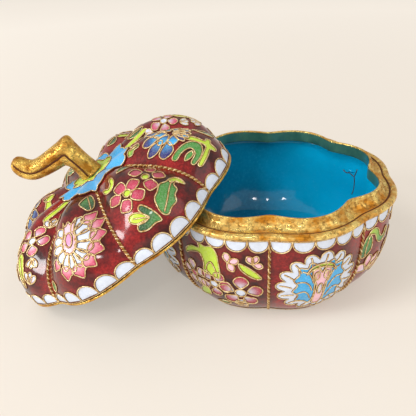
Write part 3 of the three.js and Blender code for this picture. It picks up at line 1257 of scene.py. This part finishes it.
# %% The blue lotus
def blue_lotus_lobe(draw, lobe):
    """Petals in three layers, each higher than the last, in turquoise and cobalt."""
    where = sheet_of(lid_shell, lobe)
    for x, y, turn, length, width in ((-4.2, 20.2, 184, 5.2, 4.0), (-3.4, 22.4, 146, 5.2, 3.6),
                                      (-2.0, 23.8, 108, 5.0, 3.4), (0.2, 23.8, 74, 5.0, 3.4),
                                      (1.8, 22.4, 36, 5.2, 3.6), (2.6, 20.2, -2, 5.2, 4.0)):
        draw.shape(where, moved(petal(length, width), (x, y), turn), TURQUOISE, COBALT)
    for x, y, turn, length in ((-1.8, 19.4, 190, 3.8), (-1.6, 20.8, 142, 4.0), (-0.7, 21.6, 92, 4.0),
                               (0.4, 20.8, 42, 4.0), (0.6, 19.4, -8, 3.8)):
        draw.shape(where, moved(petal(length, 3.0), (x, y), turn), COBALT, TURQUOISE, 0.12)
    for turn, colour in ((-130, COBALT), (-110, TURQUOISE), (-90, COBALT), (-70, TURQUOISE),
                         (-50, COBALT)):
        draw.shape(where, moved(petal(5.4, 1.7), (-0.6, 19.8), turn), colour, lift=0.17)
    leaf(draw, where, [(-3.8, 11.0), (-3.6, 13.0), (-5.0, 15.4), (-7.8, 17.2), (-9.8, 17.4),
                       (-10.2, 16.0), (-8.2, 15.4), (-6.6, 14.2), (-6.2, 12.8), (-7.6, 11.4),
                       (-10.4, 11.6), (-10.8, 10.4), (-8.0, 9.6), (-5.4, 9.8)], GREEN)
    leaf(draw, where, [(-7.0, 12.6), (-8.4, 13.8), (-10.2, 13.6), (-9.4, 12.4), (-8.0, 11.9)],
         GREEN)
    leaf(draw, where, [(-3.6, 9.4), (-6.0, 9.2), (-10.4, 9.4), (-10.2, 8.0), (-6.4, 7.6),
                       (-4.0, 7.6), (-3.4, 6.0), (-2.2, 5.9), (-1.6, 8.0), (-0.2, 8.4),
                       (-0.6, 9.8), (-1.8, 10.2), (-1.6, 13.6), (-2.0, 15.6), (-3.2, 15.4),
                       (-3.4, 12.4)], YELLOW_GREEN)
    leaf(draw, where, [(3.0, 8.2), (6.0, 7.4), (9.4, 9.0), (11.0, 12.0), (9.6, 14.6), (8.6, 12.0),
                       (6.4, 10.4), (4.4, 12.2), (3.2, 14.6), (2.4, 11.4)], GREEN, DEEP_GREEN)
    leaf(draw, where, [(-2.2, 34.8), (-4.2, 33.6), (-4.4, 32.0), (-3.2, 31.8), (-2.8, 30.2),
                       (-1.4, 31.0), (-1.4, 33.0)], YELLOW_GREEN, GREEN, [(-2.2, 34), (-2.2, 31)])
    leaf(draw, where, [(1.6, 34.6), (1.2, 32.0), (2.4, 30.2), (3.6, 31.4), (3.2, 33.6)], GREEN)


print("blue lotus for lobes 2 and 6")


# %% The spray of buds
def spray_lobe(draw, lobe, mirror):
    def where(x, y, lift):
        return lid_shell.sheet(lobe, -x if mirror else x, y, lift)

    leaf(draw, where, [(3.4, 37.4), (3.6, 33.4), (3.4, 29.2), (4.4, 28.2), (5.0, 32.2),
                       (4.6, 36.4)], YELLOW_GREEN)
    bud(draw, where, (6.9, 26.4), 104, 0.95)
    blossom(draw, where, (4.6, 21.6), 10, 3.5, PINK, WHITE, WHITE)
    bud(draw, where, (7.6, 16.6), -88, 0.9, WHITE)
    bud(draw, where, (7.0, 8.6), 80, 1.15, PALE_PINK)
    leaf(draw, where, [(1.6, 17.2), (3.6, 16.6), (4.6, 13.6), (4.8, 10.2), (4.6, 7.0),
                       (3.0, 8.8), (1.6, 12.0), (0.8, 15.0)], YELLOW_GREEN, None,
         [(2.2, 16), (3.4, 12), (4.2, 8.4)])
    blossom(draw, where, (-4.0, 19.4), 40, 3.3, PINK, MAGENTA)
    leaf(draw, where, [(-4.6, 31.2), (-5.0, 28.4), (-3.8, 26.0), (-2.4, 27.0), (-2.8, 29.6)],
         GREEN, YELLOW_GREEN)
    leaf(draw, where, [(-1.0, 10.6), (-3.4, 12.6), (-6.6, 12.8), (-9.6, 10.8), (-11.0, 8.2),
                       (-8.0, 8.4), (-5.6, 7.2), (-2.8, 7.6)], GREEN, YELLOW_GREEN,
         [(-1.6, 9.8), (-5.6, 10.4), (-9.6, 9.2)])


print("spray for lobes 3 and 7, mirrored on lobe 3")

# %% [markdown]
# Round the stem lies a cloud collar: a turquoise field with a wavy edge, and a yellow-green patch
# with a cut edge inside it. Both are drawn in plan, looking down the stem.

# %% The collar round the stem
PLAN_START = 0.4
HALVINGS = 24
COLLAR_LIFT = 0.34
PATCH_LIFT = 0.44


def plan_of(shell):
    """Gives the where(x, y, lift) of a drawing seen from above: the radius is found by halving."""
    def where(x, y, lift):
        radius = math.hypot(x, y)
        low, high = PLAN_START, 1.0
        for _ in range(HALVINGS):
            middle = (low + high) / 2
            if shell.lines(middle)[0][0] > radius:
                low = middle
            else:
                high = middle
        return shell.on(math.atan2(y, x), (low + high) / 2, lift)
    return where


def wavy_ring(radius, depth, waves, turn=0.0, centre=(0, 0)):
    """A closed outline with small round arches, as a cloud's edge has."""
    count = waves * 8
    outline = []
    for k in range(count):
        angle = 2 * math.pi * k / count
        wave = abs(math.sin(waves * angle / 2 + turn))
        reach = radius + depth * (wave - 0.6)
        outline.append((centre[0] + reach * math.cos(angle), centre[1] + reach * math.sin(angle)))
    return outline


def collar(draw):
    where = plan_of(lid_shell)
    draw.shape(where, wavy_ring(13.2, 1.2, 22, centre=(1.6, 3.2)), TURQUOISE, lift=COLLAR_LIFT)
    draw.shape(where, wavy_ring(7.4, 1.4, 11, 0.4), YELLOW_GREEN, lift=PATCH_LIFT)


def collar_leaves(draw, lobe, side):
    """A leaf and a yellow-green sprig just below the collar, to one side of the lobe's middle."""
    def where(x, y, lift):
        return lid_shell.sheet(lobe, side * x, y, lift)

    leaf(draw, where, [(-1.2, 35.4), (-3.0, 33.6), (-3.4, 30.8), (-2.2, 28.6), (-1.2, 30.6),
                       (-0.6, 33.2)], GREEN, DEEP_GREEN, [(-1.4, 34.6), (-2.2, 30)])
    leaf(draw, where, [(2.0, 35.0), (3.8, 32.6), (5.8, 31.4), (7.0, 29.6), (6.0, 28.6),
                       (4.4, 30.2), (2.4, 31.4), (1.4, 33.4)], YELLOW_GREEN)


print("the collar's edge has", len(wavy_ring(13.2, 1.2, 22)), "points")

# %% [markdown]
# Now the lid is drawn, lobe by lobe, and the drawing becomes three pieces: the glass, the wires and
# the painted shade lines. The stem's two flutes get a line of painted shade each, which joins the
# lid's.

# %% Draw the lid
LID_SCALLOP_START = 0.25
LID_SCALLOP_HEIGHT = 4.2
FLUTE_STEPS = 60

for lobe in range(LOBES):
    scallops(lid_drawing, lobe, LID_SCALLOP_START, LID_SCALLOP_HEIGHT, 1)
for lobe in (0, 4):
    white_lotus_lobe(lid_drawing, lobe)
for lobe in (1, 5):
    blossoms_lobe(lid_drawing, lobe)
for lobe in (2, 6):
    blue_lotus_lobe(lid_drawing, lobe)
for lobe, side in ((3, 1), (4, 1), (5, -1), (6, 1)):
    collar_leaves(lid_drawing, lobe, side)
spray_lobe(lid_drawing, 3, True)
spray_lobe(lid_drawing, 7, False)
lid_drawing.ring(lid_shell.share_at(0.15))
collar(lid_drawing)
settle(lid_drawing.make_cells(), [])
settle(lid_drawing.make_wires(), [])
# A dark line painted along each of the stem's flutes, as the shade in it.
for side in (-1, 1):
    flute_shade_line = [stem_point(side * FLUTE_ANGLE / (2 * math.pi), step / FLUTE_STEPS)
                  for step in range(2, 54)]
    lid_drawing.shade_lines.append((flute_shade_line, False))
settle(lid_drawing.make_seams(), [])

# %% [markdown]
# ## The bowl's pattern
# The bowl repeats the ring: a large open lotus on every second lobe, and between them sprays with
# buds and bright leaves. White scallops hang from the gilt rim.

# %% The open lotus
LOTUS_WAVES = 15
LOTUS_STEPS = 6
LOTUS_REACH = 9.4
LOTUS_WAVE_HEIGHT = 2.2
LOTUS_WIDENING = 1.1


def open_lotus_lobe(draw, lobe):
    """A white ring of fifteen arches with rays, turquoise wings, and a pink vase under a cap."""
    where = sheet_of(bowl_shell, lobe)
    middle = (-0.4, 18.4)
    outline = []
    count = LOTUS_WAVES * LOTUS_STEPS
    for k in range(count):
        angle = 2 * math.pi * k / count
        wave = abs(math.sin(LOTUS_WAVES * angle / 2))
        reach = LOTUS_REACH + LOTUS_WAVE_HEIGHT * wave ** 0.7
        outline.append((middle[0] + LOTUS_WIDENING * reach * math.cos(angle),
                        middle[1] + reach * math.sin(angle)))
    draw.shape(where, outline, WHITE)
    for k in range(LOTUS_WAVES):
        angle = 2 * math.pi * k / LOTUS_WAVES
        ray = [(middle[0] + LOTUS_WIDENING * reach * math.cos(angle + twist),
                middle[1] + reach * math.sin(angle + twist))
               for reach, twist in ((10.6, 0.2), (9.0, 0.21), (7.4, 0.28))]
        draw.wire(where, smooth_line(ray, 4))
    for side in (-1, 1):
        wing = [(0.8, 6.8), (3.4, 8.4), (4.2, 6.6), (6.6, 6.8), (6.4, 4.4), (7.8, 2.4), (6.6, 0.6),
                (7.8, -2.0), (6.0, -3.6), (6.4, -6.2), (4.0, -6.4), (2.2, -7.8), (1.6, -4.0),
                (1.8, 0.0), (1.6, 3.6)]
        draw.shape(where, [(middle[0] + side * x, middle[1] + y) for x, y in loop(wing, 3)],
                   TURQUOISE, lift=0.11)
        for points in ([(5.6, 5.6), (3.8, 4.8), (2.8, 3.0), (2.2, 1.2)],
                       [(6.8, 1.6), (4.8, 1.8), (3.2, 0.4), (2.4, -1.6)],
                       [(6.4, -2.8), (4.6, -2.0), (3.2, -3.2), (2.4, -5.2)]):
            draw.wire(where, [(middle[0] + side * x, middle[1] + y)
                              for x, y in smooth_line(points, 4)], lift=0.2)
    vase = [(-1.0, -8.2), (1.0, -8.2), (1.4, -4.6), (1.2, 0.0), (2.4, 3.0), (2.6, 5.6), (0.9, 6.2),
            (0, 4.8), (-0.9, 6.2), (-2.6, 5.6), (-2.4, 3.0), (-1.2, 0.0), (-1.4, -4.6)]
    draw.shape(where, moved(loop(vase, 4), middle), PALE_PINK, lift=0.17)
    for side in (-1, 1):
        draw.shape(where, moved(disc(0.75, squash=1.9), (middle[0] + side * 1.4, middle[1] + 3.8)),
                   PINK, PALE_PINK, lift=0.22)
    draw.shape(where, moved(disc(0.7, squash=3.0), (middle[0], middle[1] - 1.4)), PALE_PINK,
               WHITE, lift=0.22)
    cap = [(-4.4, 4.6), (-3.2, 6.8), (-1.2, 7.8), (1.2, 7.8), (3.2, 6.8), (4.4, 4.6), (2.6, 6.2),
           (0, 6.8), (-2.6, 6.2)]
    draw.shape(where, moved(loop(cap, 3), middle), GREEN, YELLOW_GREEN, lift=0.2)


print("open lotus for lobes 0, 2, 4 and 6")


# %% The spray with a broad leaf
def broad_leaf_lobe(draw, lobe):
    where = sheet_of(bowl_shell, lobe)
    leaf(draw, where, [(-4.4, 20.8), (-4.0, 24.0), (-5.4, 27.0), (-9.0, 26.0), (-11.6, 24.4),
                       (-11.4, 26.2), (-8.6, 28.2), (-5.6, 28.8), (-5.8, 30.4), (-3.4, 30.0),
                       (-1.2, 30.6), (0.4, 28.8), (0.9, 25.6), (1.2, 21.8), (0.6, 19.8),
                       (-1.8, 20.4)], YELLOW_GREEN)
    draw.wire(where, smooth_line([(-3.2, 20.8), (-3.0, 23.6), (-1.4, 25.2), (-0.2, 22.6),
                                  (0.2, 20.4)], 4), lift=0.2)
    for turn in (100, 20, -62):
        draw.shape(where, moved(petal(3.2, 2.1), (3.7, 26.4), turn), PALE_PINK)
    leaf(draw, where, [(6.8, 26.4), (9.0, 25.4), (11.6, 23.2), (13.0, 21.2), (11.6, 20.9),
                       (9.4, 22.2), (7.2, 24.4)], YELLOW_GREEN)
    for turn in (62, 118, -20):
        draw.shape(where, moved(petal(3.0, 1.9), (10.6, 26.2), turn), PALE_PINK)
    blossom(draw, where, (-1.2, 17.2), 60, 3.8, MAGENTA, WHITE, WHITE)
    blossom(draw, where, (6.6, 15.2), 84, 4.7, MAGENTA, WHITE, WHITE)
    blossom(draw, where, (-8.6, 18.0), 30, 3.6, PALE_PINK, WHITE, PINK)
    leaf(draw, where, [(-3.8, 14.4), (-5.8, 13.8), (-7.6, 11.0), (-8.2, 8.2), (-5.4, 9.2),
                       (-3.4, 11.0)], YELLOW_GREEN)
    bud(draw, where, (4.0, 9.4), 0, 1.2, MAGENTA)
    leaf(draw, where, [(-2.0, 7.6), (0.6, 9.2), (2.6, 8.6), (1.0, 7.0)], GREEN)


print("broad leaf for lobes 1 and 5")


# %% The spray with a hooked leaf
def hooked_leaf_lobe(draw, lobe):
    where = sheet_of(bowl_shell, lobe)
    leaf(draw, where, [(-14.2, 20.6), (-15.0, 23.4), (-14.0, 26.4), (-12.4, 28.2), (-10.8, 26.6),
                       (-10.4, 23.2), (-11.8, 21.0)], DEEP_GREEN, GREEN,
         [(-12.8, 21.0), (-12.8, 24.0), (-12.0, 27.6)])
    leaf(draw, where, [(-12.6, 28.4), (-10.6, 29.8), (-8.4, 28.8), (-7.0, 26.2), (-5.4, 25.4),
                       (-4.2, 27.6), (-3.2, 27.2), (-3.8, 24.6), (-6.0, 23.4), (-8.2, 24.6),
                       (-9.6, 27.2), (-11.2, 28.0)], YELLOW_GREEN, GREEN)
    for turn, colour in ((150, WHITE), (100, PINK), (50, PALE_PINK), (10, PINK)):
        draw.shape(where, moved(petal(6.4, 3.2), (-9.4, 14.2), turn), colour, PALE_PINK)
    blossom(draw, where, (2.6, 18.6), 18, 4.1, PINK, WHITE, YELLOW_GREEN)
    leaf(draw, where, [(8.0, 14.0), (10.4, 17.4), (11.4, 21.6), (10.4, 25.4), (8.6, 23.0),
                       (7.4, 19.4)], GREEN, DEEP_GREEN, [(8.6, 15.4), (9.6, 19.6), (10.0, 24.0)])
    leaf(draw, where, [(1.2, 27.4), (3.8, 29.6), (7.2, 29.0), (9.0, 27.2), (5.8, 26.6)],
         YELLOW_GREEN)
    bud(draw, where, (-2.2, 9.0), 20, 1.15)
    leaf(draw, where, [(4.4, 11.8), (7.0, 11.0), (9.8, 8.4), (7.2, 8.0), (4.8, 9.4)], GREEN)


print("hooked leaf for lobes 3 and 7")

# %% [markdown]
# The bowl becomes three pieces in the same way. A ring of wire closes the pattern above its foot and
# another under the rim, and the painted shade of the rim's groove joins the bowl's other shade lines.

# %% Draw the bowl
BOWL_SCALLOP_START = bowl_shell.length - 0.05
BOWL_SCALLOP_HEIGHT = 3.4

for lobe in range(LOBES):
    scallops(bowl_drawing, lobe, BOWL_SCALLOP_START, BOWL_SCALLOP_HEIGHT, -1)
for lobe in (0, 2, 4, 6):
    open_lotus_lobe(bowl_drawing, lobe)
for lobe in (1, 5):
    broad_leaf_lobe(bowl_drawing, lobe)
for lobe in (3, 7):
    hooked_leaf_lobe(bowl_drawing, lobe)
for share in (bowl_shell.share_at(1.8), bowl_shell.share_at(bowl_shell.length - 0.15)):
    bowl_drawing.ring(share)
settle(bowl_drawing.make_cells(), [])
settle(bowl_drawing.make_wires(), [])
# The painted shade of the rim's groove.
bowl_drawing.shade_lines.append((groove_shade_line(), True))
settle(bowl_drawing.make_seams(), [])

# %% [markdown]
# The blue enamel inside has one old flaw: a forked crack, with a lip of glass pushed up beside it.
# Both are thin lines laid on the inner wall, the crack dark and the lip in the same blue glass.

# %% The crack inside the bowl
CRACK_RADIUS = 0.16
LIP_RADIUS = 0.34


def on_inner_wall(line, sunk):
    """Points given as an angle in degrees and a height along the crown."""
    return [bowl_shell.on(math.radians(turn), bowl_shell.share_at(y), -WALL - sunk)
            for turn, y in smooth_line(line, 4)]


fork = [(40.7, 26.6), (38.4, 25.8), (36.4, 26.2), (33.4, 25.4), (32.2, 26.8), (31.4, 28.6)]
fall = [(33.0, 25.6), (32.2, 23.0), (31.9, 20.4), (32.4, 18.2)]
lip = [(37.6, 27.2), (35.4, 27.0), (33.6, 27.4)]
crack_lines = [(on_inner_wall(line, 0.02), False) for line in (fork, fall)]
settle(bowl_drawing.lines_to_piece("bowl_crack", crack_lines, CRACK_RADIUS, painted_shade_and_crack), [])
settle(bowl_drawing.lines_to_piece("bowl_crack_lip", [(on_inner_wall(lip, 0.05), False)],
                                   LIP_RADIUS, blue_enamel), [])

# %% [markdown]
# ## Camera and studio
# The camera looks down at about twenty-nine degrees, from close by, and is tilted a little. It is
# placed by the point it looks at, its distance and its angles.

# %% Camera
CAMERA_LENS = 43.4
SENSOR_WIDTH = 36
CAMERA_TARGET = Vector((-0.0206, 0, 0.0210))
CAMERA_ELEVATION = math.radians(28.95)
CAMERA_DISTANCE = 0.1701
CAMERA_ROLL = math.radians(-2.94)

camera_data = bpy.data.cameras.new("camera")
camera_data.lens = CAMERA_LENS
camera_data.sensor_width = SENSOR_WIDTH
camera_data.clip_start = 0.01
camera = bpy.data.objects.new("camera", camera_data)
bpy.context.collection.objects.link(camera)
back = Vector((0, -math.cos(CAMERA_ELEVATION), math.sin(CAMERA_ELEVATION)))
up = Vector((0, math.sin(CAMERA_ELEVATION), math.cos(CAMERA_ELEVATION)))
right = Vector((1, 0, 0)) * math.cos(CAMERA_ROLL) + up * math.sin(CAMERA_ROLL)
up = back.cross(right)
camera.matrix_world = Matrix.Translation(CAMERA_TARGET + back * CAMERA_DISTANCE) @ Matrix(
    (right, up, back)).transposed().to_4x4()
bpy.context.scene.camera = camera
print("camera at", [round(v, 4) for v in camera.location])

# %% [markdown]
# The box stands on plain pale paper. The paper glows a little, so that the shadows stay light, and
# more so from a hand's width outward, where the lamps reach it less.

# %% The paper
PAPER_SIZE = 6
GLOW_NEAR = 0.12
GLOW_FAR = 0.6

clear_selection()
bpy.ops.mesh.primitive_plane_add(size=PAPER_SIZE, location=(0, 0, 0))
paper = bpy.context.object
paper.name = "paper"
paper_finish = Finish("pale lit paper", Roughness=0.9, Specular_IOR_Level=0.1,
                      Emission_Strength=0.53)
paper_tone = paper_finish.noise(3, 2.0, 0.5)
paper_colour = paper_finish.mix(paper_tone, rgb(178, 173, 167), rgb(181, 177, 171))
away = paper_finish.node("VectorMath", {"operation": "LENGTH"}, output=1, i0=paper_finish.place())
paper_glow = paper_finish.mix(paper_finish.spread(away, GLOW_NEAR, GLOW_FAR),
                              rgb(213, 204, 192), rgb(252, 245, 235))
paper_finish.feed("Base Color", paper_colour)
paper_finish.feed("Emission Color", paper_glow)
paper.data.materials.append(paper_finish.material)
print("paper", PAPER_SIZE, "m wide")

# %% [markdown]
# A softbox low on the left gives the enamel its broad highlights, and a small lamp in front gives
# the sparks. A weak wide light on the right shines on that side of the gilding. Two more lights
# only brighten, and no surface mirrors them. The room itself is a plain warm white.

# %% The lights and the room
LIGHT_DISTANCE = 1.2
LIGHT_TARGET = Vector((-0.02, 0, 0.02))
ROOM_STRENGTH = 0.58


def soft_light(name, heading, height, size, power, tint=(1, 1, 1), mirrored=True):
    """A round softbox: heading from the front toward the right, and height, both in degrees."""
    data = bpy.data.lights.new(name, "AREA")
    data.shape = "DISK"
    data.size = size
    data.energy = power
    data.color = tint
    light = bpy.data.objects.new(name, data)
    bpy.context.collection.objects.link(light)
    turn, rise = math.radians(heading), math.radians(height)
    toward = Vector((math.sin(turn) * math.cos(rise), -math.cos(turn) * math.cos(rise),
                     math.sin(rise)))
    light.location = LIGHT_TARGET + toward * LIGHT_DISTANCE
    light.rotation_euler = toward.to_track_quat("Z", "Y").to_euler()
    light.visible_glossy = mirrored
    print(name, "of", power, "watts")


soft_light("left softbox", -70, 21, 0.44, 7.8)
soft_light("front key", -8, 43, 0.14, 1.4)
soft_light("high left softbox", -62, 50, 0.5, 4.6, mirrored=False)
soft_light("low front fill", 10, 15, 1.0, 5.4, (1, 0.94, 0.86), mirrored=False)
soft_light("right softbox", 60, 42, 1.0, 2.4)
world = bpy.data.worlds.new("bright room")
world.use_nodes = True
room = world.node_tree.nodes["Background"]
room.inputs["Color"].default_value = rgb(255, 247, 236)
room.inputs["Strength"].default_value = ROOM_STRENGTH
bpy.context.scene.world = world
bpy.context.scene.view_settings.view_transform = "Standard"
